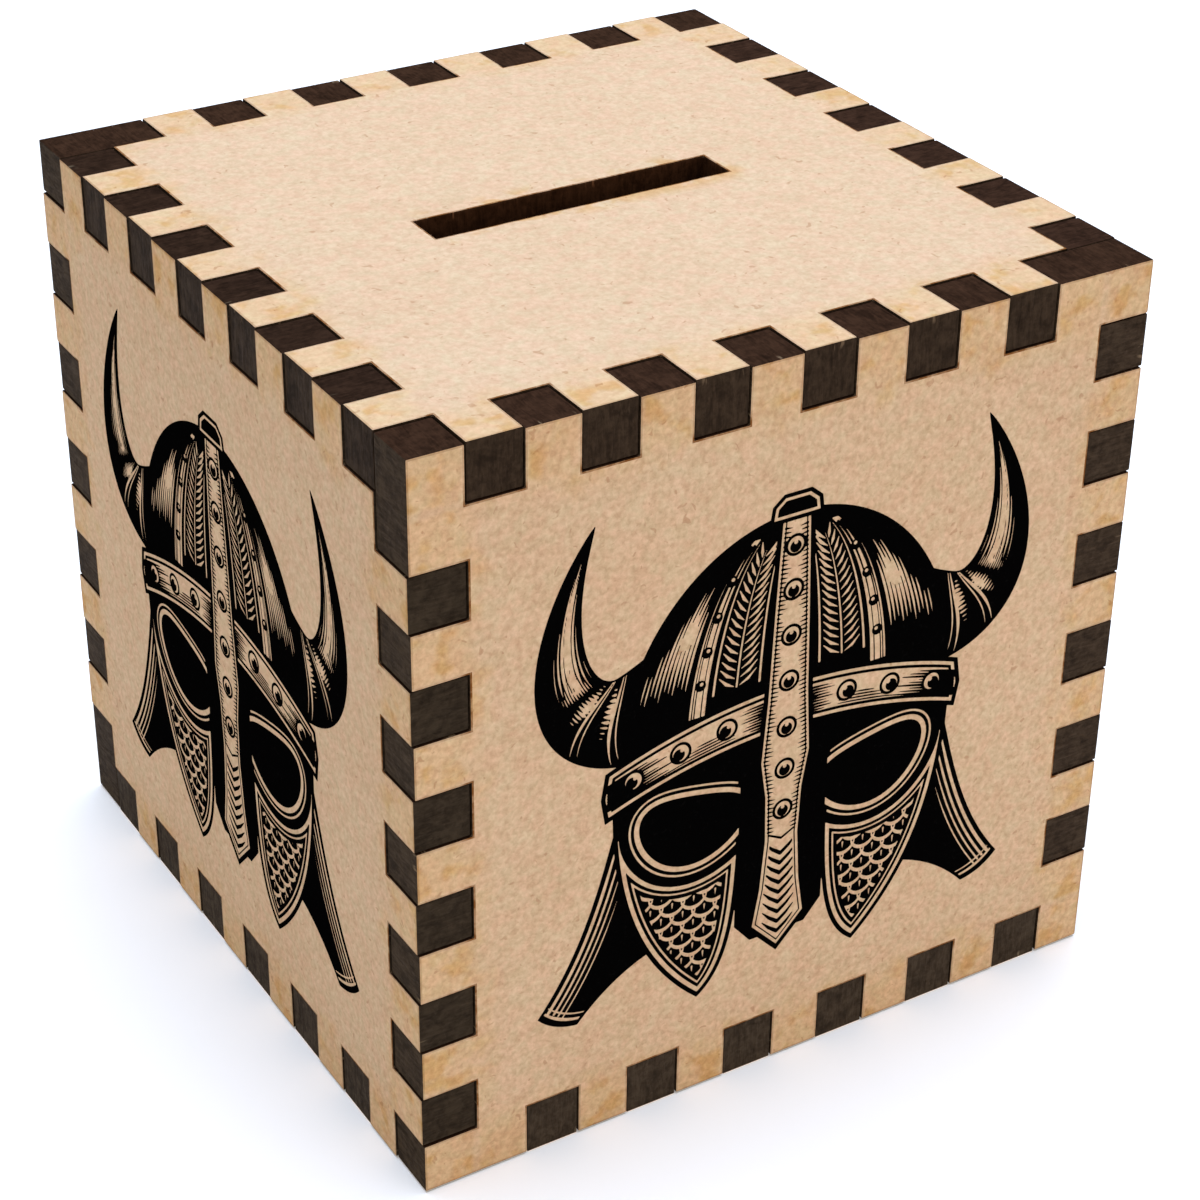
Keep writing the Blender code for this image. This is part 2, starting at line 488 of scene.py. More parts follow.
def board_material(name, outward, seed, speckling, burn, groups, look):
    """Bare fibreboard with smoke-stained borders and charred cut edges."""
    material, tree, shader, place, normal = new_material(f"{name}_fibreboard")
    grain = place_group(tree, groups["grain"], Position=place, Seed=seed)
    scorch = place_group(tree, groups["scorch"], Position=place, Seed=seed, Reach=look.smoke_reach)
    cut = place_group(
        tree, groups["cut"], Position=place, Normal=normal, Outward=outward, Seed=seed
    )
    face = board_face_colour(tree, grain, scorch, speckling, look)
    if name == "top_panel":
        face = add_mix(tree, slot_stain(tree, place), face, colour4(look.blot), "MULTIPLY")
    # The lip is darkest along the roots of the tabs and round the cut-outs, where the laser turns.
    scorched = add_range(tree, cut["Soot"], 0.40, 0.62, 1.0, 0.55)
    deep = add_range(tree, scorch["Inward"], 0.80 * BOARD, 0.98 * BOARD, 0.40, 1.0)
    lip = add_math(tree, "MULTIPLY", cut["Lip"], add_math(tree, "MULTIPLY", scorched, deep))
    face = add_mix(tree, lip, face, colour4(look.lip))
    burnt = charred_colour(tree, cut, grain, Vector(look.char) * Vector(burn))
    # Less smoke escapes from a cut-out, so its wall keeps a redder brown.
    cut_out = add_range(tree, scorch["Inward"], 2.0 * BOARD, 3.0 * BOARD)
    burnt = add_mix(tree, cut_out, burnt, (1.6, 1.08, 0.86, 1.0), "MULTIPLY")
    feed(tree, shader.inputs["Base Color"], add_mix(tree, cut["Wall"], face, burnt))
    sanded = add_range(tree, grain["Cloud"], 0.3, 0.7, 0.78, 0.66)
    crisp = add_range(tree, cut["Streak"], 0.3, 0.7, 0.64, 0.50)
    either = tree.nodes.new("ShaderNodeMix")
    feed(tree, either.inputs["Factor"], cut["Wall"])
    feed(tree, either.inputs["A"], sanded)
    feed(tree, either.inputs["B"], crisp)
    feed(tree, shader.inputs["Roughness"], either.outputs["Result"])
    shader.inputs["Specular IOR Level"].default_value = 0.01
    relief = add_bump(tree, grain["Height"], 0.012 * MM)
    streaks = add_math(tree, "MULTIPLY", cut["Streak"], cut["Wall"])
    feed(tree, shader.inputs["Normal"], add_bump(tree, streaks, 0.06 * MM, relief))
    return material


def soften_cut_edges(obj, width):
    """Gives a flat-cut piece the narrow chamfer that the laser leaves along its edges."""
    weld = obj.modifiers.new("Weld", "WELD")
    weld.merge_threshold = 1e-6
    flatten = obj.modifiers.new("Flatten", "DECIMATE")
    flatten.decimate_type = "DISSOLVE"
    flatten.angle_limit = math.radians(1.0)
    chamfer = obj.modifiers.new("Lip", "BEVEL")
    chamfer.width = width
    chamfer.segments = 2
    chamfer.profile = 0.8
    chamfer.limit_method = "ANGLE"
    chamfer.angle_limit = math.radians(40.0)
    chamfer.use_clamp_overlap = True


class MONEYBOX_OT_finish_boards(bpy.types.Operator):
    """Give the six boards their fibre grain, smoke-stained borders and charred edges"""

    bl_idname = "moneybox.finish_boards"
    bl_label = "Finish Boards"

    def execute(self, context):
        look = context.scene.money_box_boards
        groups = {
            "grain": fibre_grain_group(),
            "scorch": edge_scorch_group(),
            "cut": laser_cut_group(),
        }
        for name, (outward, seed, speckling, burn) in BOARDS.items():
            obj = frame["nodes"][name]
            material = board_material(name, outward, seed, speckling, burn, groups, look)
            set_material(obj, material)
            soften_cut_edges(obj, look.lip_width)
        return {"FINISHED"}


# ---------------------------------------------------------------- printed emblem

# The drawing is in millimetres, with its middle at the middle of the face. It is worked out on a
# grid of this step and this reach. An outline may stray by the tolerance, and spots with less area
# than the smallest are left out.
STEP = 0.09
HALF_WIDTH = 30.0
HALF_HEIGHT = 31.5
TOLERANCE = 0.012
SMALLEST_SPOT = 0.02

# The sides of a grid cell that an outline enters and leaves by, for each pattern of inked corners.
STEPS = {
    1: [("low", "left")],
    2: [("right", "low")],
    3: [("right", "left")],
    4: [("high", "right")],
    5: [("low", "left"), ("high", "right")],
    6: [("high", "low")],
    7: [("high", "left")],
    8: [("left", "high")],
    9: [("low", "high")],
    10: [("right", "low"), ("left", "high")],
    11: [("right", "high")],
    12: [("left", "right")],
    13: [("low", "right")],
    14: [("left", "low")],
}


def outlines(plate):
    """Closed outlines of the whole drawing, with the ink on their left."""
    grid = np.concatenate([plate.grid[:, :0:-1], plate.grid], axis=1)
    across = np.concatenate([-plate.across[:0:-1], plate.across])
    ink = grid < 0
    code = ink[:-1, :-1] + 2 * ink[:-1, 1:] + 4 * ink[1:, 1:] + 8 * ink[1:, :-1]
    after, places = {}, {}
    for row, column in zip(*np.nonzero((code > 0) & (code < 15))):
        sides = {
            "low": ((row, column), (row, column + 1)),
            "right": ((row, column + 1), (row + 1, column + 1)),
            "high": ((row + 1, column), (row + 1, column + 1)),
            "left": ((row, column), (row + 1, column)),
        }
        for start, end in STEPS[code[row, column]]:
            after[sides[start]] = sides[end]
    for a, b in after:
        share = grid[a] / (grid[a] - grid[b])
        x = across[a[1]] + share * (across[b[1]] - across[a[1]])
        y = plate.up[a[0]] + share * (plate.up[b[0]] - plate.up[a[0]])
        places[(a, b)] = (x, y)
    loops = []
    while after:
        first, at = after.popitem()
        loop = [places[first]]
        while at != first:
            loop.append(places[at])
            at = after.pop(at)
        loops.append(np.array(loop))
    return loops


def loop_area(loop):
    """Area inside an outline, below zero where it runs clockwise."""
    following = np.roll(loop, -1, axis=0)
    return (loop[:, 0] * following[:, 1] - following[:, 0] * loop[:, 1]).sum() / 2


def thinned(loop, tolerance):
    """The outline with the points that lie this close to a straight run left out."""
    far = int(np.argmax(((loop - loop[0]) ** 2).sum(axis=1)))
    closed = np.concatenate([loop, loop[:1]])
    keep = {0, far}
    spans = [(0, far), (far, len(loop))]
    while spans:
        start, end = spans.pop()
        if end - start < 2:
            continue
        run = closed[end] - closed[start]
        offsets = closed[start + 1 : end] - closed[start]
        gap = np.abs(offsets[:, 0] * run[1] - offsets[:, 1] * run[0]) / max(math.hypot(*run), 1e-9)
        worst = int(np.argmax(gap))
        if gap[worst] > tolerance:
            middle = start + 1 + worst
            keep.add(middle)
            spans += [(start, middle), (middle, end)]
    return loop[sorted(keep)]


def curve_points(corners, count=24):
    """Points along one Bezier curve."""
    t = np.linspace(0.0, 1.0, count)[:, None]
    a, b, c, d = (np.array(corner, float) for corner in corners)
    return (1 - t) ** 3 * a + 3 * t * (1 - t) ** 2 * b + 3 * t * t * (1 - t) * c + t**3 * d


def left_of(line):
    """Unit vectors that point to the left along a line."""
    run = np.gradient(line, axis=0)
    run /= np.linalg.norm(run, axis=1)[:, None]
    return np.stack([-run[:, 1], run[:, 0]], axis=1)


def to_run(x, y, a, b):
    """How far along a straight run each point falls, from 0 to 1, and its squared distance."""
    run = b - a
    share = ((x - a[0]) * run[0] + (y - a[1]) * run[1]) / max(run @ run, 1e-12)
    share = np.clip(share, 0.0, 1.0)
    return share, (x - a[0] - share * run[0]) ** 2 + (y - a[1] - share * run[1]) ** 2


class Plate:
    """Right half of a drawing as a grid of distances: below zero is ink, above is bare board."""

    def __init__(self):
        self.across = np.arange(0.0, HALF_WIDTH + STEP / 2, STEP)
        self.up = np.arange(-HALF_HEIGHT, HALF_HEIGHT + STEP / 2, STEP)
        self.grid = np.full((len(self.up), len(self.across)), 1.0)

    def whole(self):
        """How far across and up each point of the grid lies."""
        return np.meshgrid(self.across, self.up)

    def window(self, low, high):
        """The part of the grid between two corners, and how far across and up its points lie."""
        columns = np.searchsorted(self.across, (low[0], high[0]))
        rows = np.searchsorted(self.up, (low[1], high[1]))
        view = (slice(rows[0], rows[1] + 1), slice(columns[0], columns[1] + 1))
        x, y = np.meshgrid(self.across[view[1]], self.up[view[0]])
        return view, x, y

    def apply(self, view, shape, inked, inside):
        """Inks or clears a shape, held inside another one where that is given."""
        if inside is not None:
            shape = np.maximum(shape, inside[view])
        if inked:
            self.grid[view] = np.minimum(self.grid[view], shape)
        else:
            self.grid[view] = np.maximum(self.grid[view], -shape)

    def area(self, points):
        """Distance to a closed outline over the whole plate, below zero inside it."""
        x, y = self.whole()
        nearest = np.full(x.shape, 1e9)
        inside = np.zeros(x.shape, bool)
        ring = np.array(points, float)
        for a, b in zip(ring, np.roll(ring, -1, axis=0)):
            nearest = np.minimum(nearest, to_run(x, y, a, b)[1])
            if a[1] != b[1]:
                crossing = (a[1] > y) != (b[1] > y)
                where = a[0] + (y - a[1]) * (b[0] - a[0]) / (b[1] - a[1])
                inside ^= crossing & (x < where)
        return np.where(inside, -1.0, 1.0) * np.sqrt(nearest)

    def fill(self, shape, inked, inside=None):
        """Inks or clears a shape that spans the whole grid."""
        self.apply(..., shape, inked, inside)

    def stroke(self, points, widths, inked, inside=None):
        """A line whose half width runs through these values from its start to its end."""
        points = np.array(points, float)
        along = np.linspace(0.0, 1.0, len(points))
        half = np.interp(along, np.linspace(0.0, 1.0, len(widths)), widths)
        margin = half.max() + 3 * STEP
        view, x, y = self.window(points.min(0) - margin, points.max(0) + margin)
        if x.size == 0:
            return
        shape = np.full(x.shape, 1e9)
        for a, b, wa, wb in zip(points[:-1], points[1:], half[:-1], half[1:]):
            share, gap = to_run(x, y, a, b)
            shape = np.minimum(shape, np.sqrt(gap) - wa - share * (wb - wa))
        self.apply(view, shape, inked, inside)

    def disc(self, centre, radius, inked, inside=None):
        """Inks or clears a round spot."""
        margin = radius + 3 * STEP
        low = (centre[0] - margin, centre[1] - margin)
        high = (centre[0] + margin, centre[1] + margin)
        view, x, y = self.window(low, high)
        self.apply(view, np.hypot(x - centre[0], y - centre[1]) - radius, inked, inside)


def rivet(plate, centre, radius):
    """A domed rivet: dark ring, bright head, and a shadow that leans away from the middle."""
    plate.disc(centre, radius + 0.32, True)
    plate.disc(centre, radius, False)
    aside = 0.2 * radius if centre[0] > radius else 0.0
    plate.disc((centre[0] + aside, centre[1] - 0.2 * radius), 0.72 * radius, True)
    plate.disc((centre[0] - aside, centre[1] + 0.3 * radius), 0.25 * radius, False)


def draw_horn(plate):
    """Horn that rises from the side of the dome, with two rings at its root."""
    line = curve_points(((15.0, 8.2), (26.6, 4.6), (29.4, 17.0), (22.6, 29.9)), 60)
    side = left_of(line)
    t = np.linspace(0.0, 1.0, len(line))
    radius = 6.0 * (1 - t) ** 0.82

    def at(share, where):
        """Points at this share of the horn's width, -1 to 1 from outside in, and of its length."""
        x = np.interp(where, t, line[:, 0]) + np.interp(where, t, side[:, 0] * radius) * share
        y = np.interp(where, t, line[:, 1]) + np.interp(where, t, side[:, 1] * radius) * share
        return np.stack([x, y], axis=1)

    def cuts(start, end, count, width, low_fade, high_fade):
        """Bright cuts along the horn, longest and widest where the light falls."""
        for index, share in enumerate(np.linspace(-0.60, 0.84, count)):
            light = math.exp(-(((share - 0.26) / 0.46) ** 2))
            if light < 0.1:
                continue
            low = start + (end - start) * (low_fade * (1 - light) + 0.05 * (index % 2))
            high = end - (end - start) * (high_fade * (1 - light) + 0.07 * (index % 3 == 0))
            widths = (0.02, width * light, 0.8 * width * light, 0.45 * width * light, 0.01)
            plate.stroke(at(share, np.linspace(low, high, 24)), widths, False)

    def ring(where, bow, width):
        """A bright line round the horn."""
        share = np.linspace(-0.94, 0.94, 20)
        plate.stroke(at(share, where + bow * (1 - share**2)), (0.03, width, width, 0.05), False)

    outline = np.concatenate([at(1.0, t), at(-1.0, t[::-1])])
    plate.fill(plate.area(outline), True)
    cuts(0.425, 0.95, 10, 0.22, 0.10, 0.55)
    cuts(0.425, 0.56, 19, 0.11, 0.05, 0.65)
    cuts(0.315, 0.405, 15, 0.25, 0.45, 0.30)
    cuts(0.185, 0.245, 13, 0.30, 0.40, 0.30)
    for where, width in ((0.287, 0.17), (0.262, 0.09), (0.158, 0.20), (0.134, 0.09)):
        ring(where, 0.03, width)


def draw_neck_guard(plate):
    """Leather guard that flares out below the dome."""
    outer = curve_points(((19.0, -1.0), (21.5, -11.0), (23.5, -18.5), (28.8, -25.2)))
    hem = curve_points(((28.8, -25.2), (27.6, -26.6), (26.0, -27.4), (24.2, -27.6)), 10)
    inner = curve_points(((24.2, -27.6), (21.0, -24.0), (17.0, -21.5), (12.0, -21.0)))
    guard = plate.area(np.concatenate([outer, hem, inner, [(12.0, -1.0)]]))
    plate.fill(guard, True)
    # Bright folds that follow the outer edge, each further in, shorter and finer than the last.
    side = left_of(outer)
    folds = ((0.75, 0.10, 0.2), (1.5, 0.16, 0.15), (2.15, 0.3, 0.11), (2.8, 0.42, 0.09))
    for offset, start, width in folds:
        first = int(start * len(outer))
        fold = (outer - side * offset)[first:-1]
        plate.stroke(fold, (0.03, width, width, width), False, guard + 0.55)
    plate.stroke(hem + (-0.5, 0.75), (0.12, 0.2, 0.16), False, guard + 0.35)
    plate.stroke(hem + (-0.9, 1.35), (0.05, 0.12, 0.08), False, guard + 0.35)


def draw_dome(plate):
    """Dome with a studded strap and a feather-cut panel."""
    wide, tall, base = 19.8, 23.0, 2.2
    angle = np.linspace(0.0, math.pi, 90)
    rim = np.stack([wide * np.cos(angle), base + tall * np.sin(angle)], axis=1)
    dome = plate.area(np.concatenate([rim, [(-wide, -3.0), (wide, -3.0)]]))
    plate.fill(dome, True)

    def meridian(share, low, high, count=24):
        """Points up the dome at this share of its width."""
        y = np.linspace(low, high, count)
        x = wide * share * np.sqrt(np.clip(1 - ((y - base) / tall) ** 2, 0.0, 1.0))
        return np.stack([x, y], axis=1)

    # Strap over the temple, with its studs.
    strap = np.concatenate([meridian(0.60, 5.0, 23.2), meridian(0.505, 23.2, 5.0)])
    shape = plate.area(strap)
    plate.fill(shape, False)
    for share in (0.585, 0.57, 0.53):
        plate.stroke(meridian(share, 5.0, 22.6), (0.07, 0.05, 0.09, 0.16), True)
    for height in np.arange(8.6, 22.0, 3.6):
        x = meridian(0.5525, height, height, 2)[0, 0]
        plate.disc((x, height), 0.62, True)
        plate.disc((x - 0.12, height + 0.16), 0.22, False)
    # Feather cuts in the panel beside the crest.
    near_edge, far_edge = 0.185, 0.465
    for share in (near_edge, far_edge):
        plate.stroke(meridian(share, 7.0, 22.8), (0.14, 0.12, 0.03), False)
    middle = (near_edge + far_edge) / 2
    plate.stroke(meridian(middle, 7.2, 22.3), (0.12, 0.1, 0.03), False)
    for height in np.arange(7.3, 22.0, 0.92):
        lean = 1.25 + 0.02 * height
        for share in (near_edge + 0.025, far_edge - 0.025):
            start = meridian(middle + math.copysign(0.018, share - middle), height, height, 2)[0]
            end = meridian(share, height + lean, height + lean, 2)[0]
            knee = (start + end) / 2 + (0.0, -0.22)
            plate.stroke([start, knee, end], (0.05, 0.1875, 0.05), False, dome + 1.2)
    # Engraved shading that turns the side of the dome away.
    for index, share in enumerate(np.linspace(0.645, 0.915, 11)):
        glow = math.exp(-((share - 0.72) / 0.13) ** 2)
        low = 8.0 + 0.5 * (index % 3)
        high = 11.0 + 9.0 * glow - 0.9 * (index % 2)
        width = 0.07 + 0.11 * glow
        plate.stroke(meridian(share, low, high), (0.02, width, width, 0.01), False, dome + 0.5)


def draw_face(plate):
    """Face guard: an eye opening with a bright rim, and a cheek plate of scales."""
    outer = curve_points(((20.3, -0.5), (20.6, -11.0), (18.6, -22.0), (9.8, -29.9)), 40)
    inner = curve_points(((9.8, -29.9), (6.2, -27.4), (5.2, -22.0), (5.0, -12.6)), 24)
    brow = [(5.0, -0.5)]
    face = plate.area(np.concatenate([outer, inner, brow]))
    plate.fill(face, True)
    shadow = plate.area([(-1.0, 0.0), (5.4, 0.0), (5.4, -22.6), (3.4, -25.0), (-1.0, -25.0)])
    plate.fill(shadow, True)

    # Eye opening: plain black, with a bright double rim.
    angle = np.linspace(0.0, 2 * math.pi, 60, endpoint=False)
    x, y = 6.1 * np.cos(angle), 3.7 * np.sin(angle) + 0.75 * np.cos(2 * angle)
    lean = 0.20
    cosine, sine = math.cos(lean), math.sin(lean)
    rim = np.stack([10.9 + x * cosine - y * sine, -7.6 + x * sine + y * cosine], axis=1)
    eye = plate.area(rim)
    plate.fill(np.abs(eye - 0.75) - 0.30, False, face + 0.3)
    plate.fill(np.abs(eye - 1.55) - 0.13, False, face + 0.6)

    # Cheek plate: bright double border, and rows of scales inside it.
    _, up = plate.whole()
    cheek = np.maximum(np.maximum(face, 2.3 - eye), up + 6.0)
    plate.fill(np.abs(cheek + 0.75) - 0.24, False)
    plate.fill(np.abs(cheek + 1.45) - 0.11, False)
    inside = cheek + 2.0
    turn = np.linspace(math.pi * 1.02, math.pi * 1.98, 11)
    scale = 1.55 * np.stack([np.cos(turn), np.sin(turn)], axis=1)
    for row in range(14):
        y = -9.0 - row * 1.5
        for column in range(-1, 9):
            x = 2.6 * (column + 0.5 * (row % 2)) + 4.0
            arc = scale + (x, y)
            if arc[:, 0].min() < 0.5:
                continue
            plate.stroke(arc, (0.05, 0.19, 0.24, 0.19, 0.05), False, inside)
            plate.stroke([(x, y - 0.15), (x, y - 0.95)], (0.12, 0.02), False, inside)


def draw_brow_band(plate):
    """Riveted band that bows down from the crest to the temple."""
    tall = 2.95

    def level(offset, start, end, count=24):
        """Points along the band, this far above its middle line."""
        x = np.linspace(start, end, count)
        return np.stack([x, 2.9 - 0.0088 * x**2 + offset], axis=1)

    top = level(tall, -1.0, 21.2, 40)
    low = level(-tall, -1.0, 21.2, 40)
    tip = (21.7, (top[-1, 1] + low[-1, 1]) / 2)
    band = plate.area(np.concatenate([top, [tip], low[::-1]]))
    plate.fill(band, True)
    plate.fill(np.abs(band + 0.72) - 0.20, False)
    plate.fill(band + 1.25, False)
    # Engraved lines that darken the band toward its ends and along its lower half.
    for index, offset in enumerate(np.arange(-1.5, 1.55, 0.34)):
        reach = 14.2 + 1.3 * ((index * 7) % 3) - 1.4 * (offset < -0.2)
        plate.stroke(level(offset, reach - 1.0, 20.8), (0.01, 0.10, 0.17, 0.2), True)
        plate.stroke(level(offset, 2.0, 4.9 + 0.5 * ((index * 5) % 3)), (0.17, 0.12, 0.01), True)
    for index, offset in enumerate((-1.45, -1.1, -0.75, -0.4)):
        plate.stroke(level(offset, 5.0 + index, 14.0 - index), (0.01, 0.09, 0.09, 0.01), True)
    for x in (7.2, 12.6, 18.0):
        rivet(plate, level(0.0, x, x, 1)[0], 0.95)


def draw_crest(plate):
    """Riveted crest bar, from the buckle on top of the dome to the tip of the nose guard."""
    edge_points = [(2.1, 25.6), (2.6, 14.0), (2.95, 4.0), (3.45, -3.2), (2.75, -7.5), (2.55, -13.0)]
    nose_points = [(3.0, -19.0), (3.75, -23.6)]
    right = edge_points + nose_points
    left = [(-x, y) for x, y in reversed(right)]
    bar = plate.area(right + [(0.0, -27.6)] + left)
    cap_points = [(3.2, 24.2), (2.9, 26.2), (1.6, 27.3)]
    cap = plate.area(cap_points + [(-x, y) for x, y in reversed(cap_points)])
    plate.fill(bar, True)
    plate.fill(bar + 0.55, False)
    # Edge lines, and short cuts that shade the strap from its sides.
    plate.fill(np.abs(bar + 0.95) - 0.07, True)
    edge_x, edge_y = zip(*reversed(edge_points))
    for index, height in enumerate(np.arange(-12.0, 24.0, 0.5)):
        reach = 0.42 + 0.55 * abs(math.sin(0.9 * height + 0.4)) + 0.12 * (index % 3)
        start = np.interp(height, edge_y, edge_x) - 0.9
        plate.stroke([(start, height), (start - reach, height - 0.12)], (0.13, 0.01), True)
    # Nested chevrons down the nose guard.
    for height in np.arange(-14.2, -25.0, -1.25):
        chevron = [(0.0, height - 0.9), (1.0, height - 0.15), (1.9, height + 0.8)]
        plate.stroke(chevron, (0.24, 0.2, 0.06), True, bar + 1.2)
    plate.stroke([(0.0, -13.2), (1.75, -12.3)], (0.14, 0.1), True, bar + 0.9)
    plate.fill(cap, True)
    plate.fill(np.abs(cap + 0.6) - 0.17, False)
    for height in (21.4, 16.4, 11.2, 5.9, 0.4, -4.6, -9.6):
        rivet(plate, (0.0, height), 0.92)


def draw_emblem():
    """The right half of the horned helmet. The left half is its mirror image."""
    plate = Plate()
    draw_neck_guard(plate)
    draw_horn(plate)
    draw_dome(plate)
    draw_face(plate)
    draw_brow_band(plate)
    draw_crest(plate)
    return plate


class MoneyBoxPrintLook(bpy.types.PropertyGroup):
    """Ink of the printed emblem"""

    ink: FloatVectorProperty(
        name="Ink",
        description="Colour of the printing ink",
        subtype="COLOR",
        default=(0.0012, 0.0011, 0.0011),
        min=0.0,
        max=1.0,
    )
    film: FloatProperty(
        name="Film",
        description="How far the dried ink stands above the board",
        subtype="DISTANCE",
        unit="LENGTH",
        default=0.02 * MM,
        min=0.0,
    )


def emblem_mesh(film):
    """The drawing as one thin closed slab. Half of its thickness lies inside the board."""
    curve = bpy.data.curves.new("emblem_outline", "CURVE")
    curve.dimensions = "2D"
    curve.fill_mode = "BOTH"
    curve.extrude = film / MM
    for loop in outlines(draw_emblem()):
        if abs(loop_area(loop)) < SMALLEST_SPOT:
            continue
        loop = thinned(loop, TOLERANCE)
        spline = curve.splines.new("POLY")
        spline.points.add(len(loop) - 1)
        rest = np.tile((0.0, 1.0), (len(loop), 1))
        spline.points.foreach_set("co", np.hstack([loop, rest]).ravel())
        spline.use_cyclic_u = True
    holder = add_object("emblem_outline", curve)
    graph = bpy.context.evaluated_depsgraph_get()
    mesh = bpy.data.meshes.new_from_object(holder.evaluated_get(graph))
    bpy.data.objects.remove(holder)
    shape = bmesh.new()
    shape.from_mesh(mesh)
    bmesh.ops.remove_doubles(shape, verts=shape.verts, dist=STEP / 1000)
    bmesh.ops.scale(shape, vec=(MM, MM, MM), verts=shape.verts)
    shape.to_mesh(mesh)
    shape.free()
    mesh.name = "emblem"
    return mesh


def ink_material(look, grain_group):
    """Flat black ink. It sinks into the board a little, so the fibres show in its surface."""
    material, tree, shader, place, _ = new_material("printed_ink")
    grain = place_group(tree, grain_group, Position=place, Seed=2.4)
    ink = Vector(look.ink)
    thin = add_range(tree, grain["Pale Fibre"], 0.2, 1.0)
    colour = add_mix(tree, thin, colour4(ink), colour4(ink * 3.0))
    feed(tree, shader.inputs["Base Color"], colour)
    feed(tree, shader.inputs["Roughness"], add_range(tree, grain["Cloud"], 0.3, 0.7, 0.85, 0.7))
    shader.inputs["Specular IOR Level"].default_value = 0.0
    feed(tree, shader.inputs["Normal"], add_bump(tree, grain["Height"], 0.010 * MM))
    return material


class MONEYBOX_OT_print_emblem(bpy.types.Operator):
    """Print the horned helmet in black ink on the four walls"""

    bl_idname = "moneybox.print_emblem"
    bl_label = "Print Emblem"

    def execute(self, context):
        look = context.scene.money_box_print
        mesh = emblem_mesh(look.film)
        mesh.materials.clear()
        mesh.materials.append(ink_material(look, bpy.data.node_groups["Fibre Grain"]))
        upright = Matrix.Rotation(math.radians(90), 4, "X")
        on_front = Matrix.Translation((0.0, -HALF, HALF)) @ upright
        for wall, turn in WALLS.items():
            emblem = add_object(f"{wall}_emblem", mesh)
            emblem.matrix_world = Matrix.Rotation(math.radians(turn), 4, "Z") @ on_front
            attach(emblem, "box")
        return {"FINISHED"}


# ---------------------------------------------------------------- stopper


class MoneyBoxStopperLook(bpy.types.PropertyGroup):
    """Colour of the stopper"""

    rubber: FloatVectorProperty(
        name="Rubber",
        description="Colour of the moulded rubber",
        subtype="COLOR",
        default=(0.022, 0.022, 0.024),
        min=0.0,
        max=1.0,
    )


def rubber_material(look):
    """Soft black rubber with a fine moulded texture and a little dust."""
    material, tree, shader, place, _ = new_material("stopper_rubber")
    mottle = add_noise(tree, place, 3.0 * MM, detail=3.0, roughness=0.6)
    pores = add_noise(tree, place, 0.22 * MM, roughness=0.6)
    specks = add_noise(tree, place, 1.1 * MM, detail=4.0, roughness=0.7)
    dust = add_range(tree, specks, 0.58, 0.80, 0.0, 0.35)
    rubber = Vector(look.rubber)
    colour = add_mix(
        tree,
        add_range(tree, mottle, 0.35, 0.65),
        colour4(rubber * 0.75),
        colour4(rubber * 1.35),
    )
    colour = add_mix(tree, dust, colour, (0.10, 0.085, 0.07, 1.0))
    feed(tree, shader.inputs["Base Color"], colour)
    feed(tree, shader.inputs["Roughness"], add_range(tree, mottle, 0.3, 0.7, 0.52, 0.68))
    shader.inputs["Specular IOR Level"].default_value = 0.4
    feed(tree, shader.inputs["Normal"], add_bump(tree, pores, 0.02 * MM))
    return material


class MONEYBOX_OT_finish_stopper(bpy.types.Operator):
    """Give the stopper its moulded rubber"""

    bl_idname = "moneybox.finish_stopper"
    bl_label = "Finish Stopper"

    def execute(self, context):
        obj = frame["nodes"]["stopper"]
        set_material(obj, rubber_material(context.scene.money_box_stopper))
        return {"FINISHED"}


# ---------------------------------------------------------------- stage

# The floor reaches this far each way from the box. It lies a hair below the base, because two faces
# at the same height hide each other in patches.
FLOOR_REACH = 4.0
FLOOR_DROP = 0.1 * MM

# The soft lights: place, target, diameter and colour.
OVERHEAD = ((0.05, 0.08, 0.85), (0.0, 0.0, SIDE), 0.9, (0.614, 0.757, 1.0))
FRONT_FILL = ((0.25, -0.8, 0.25), tuple(MIDDLE), 0.6, (1.0, 0.873, 0.79))
FROM_BELOW = ((0.0, 0.0, -0.5), (0.0, 0.0, 0.0), 0.5, (1.0, 1.0, 1.0))
FROM_BELOW_POWER = 1.0
SURROUNDINGS_COLOUR = (1.0, 0.80, 0.52)
WHITE = (1.0, 1.0, 1.0, 1.0)


class MoneyBoxStageLook(bpy.types.PropertyGroup):
    """Floor, lights and camera"""

    floor: FloatVectorProperty(
        name="Floor",
        description="Colour of the floor",
        subtype="COLOR",
        default=(0.9, 0.9, 0.9),
        min=0.0,
        max=1.0,
    )
    surroundings: FloatProperty(
        name="Surroundings",
        description="Brightness of the even light from all round",
        default=0.388,
        min=0.0,
    )
    overhead: FloatProperty(
        name="Overhead",
        description="Power of the large soft light above the box",
        unit="POWER",
        default=12.6,
        min=0.0,
    )
    front_fill: FloatProperty(
        name="Front Fill",
        description="Power of the soft light on the front face",
        unit="POWER",
        default=1.4,
        min=0.0,
    )
    camera_place: FloatVectorProperty(
        name="Camera Place",
        description="Where the camera stands",
        subtype="TRANSLATION",
        unit="LENGTH",
        default=(-0.1423, -0.2383, 0.2021),
    )
    camera_target: FloatVectorProperty(
        name="Camera Target",
        description="The point that the camera looks at",
        subtype="TRANSLATION",
        unit="LENGTH",
        default=(0.0013, -0.0039, 0.0370),
    )
    camera_roll: FloatProperty(
        name="Camera Roll",
        description="Turn of the camera about its line of sight",
        subtype="ANGLE",
        unit="ROTATION",
        default=math.radians(0.65),
    )
    lens: FloatProperty(
        name="Lens",
        description="Focal length of the camera, in millimetres on a 36 mm sensor",
        default=86.9,
        min=1.0,
    )


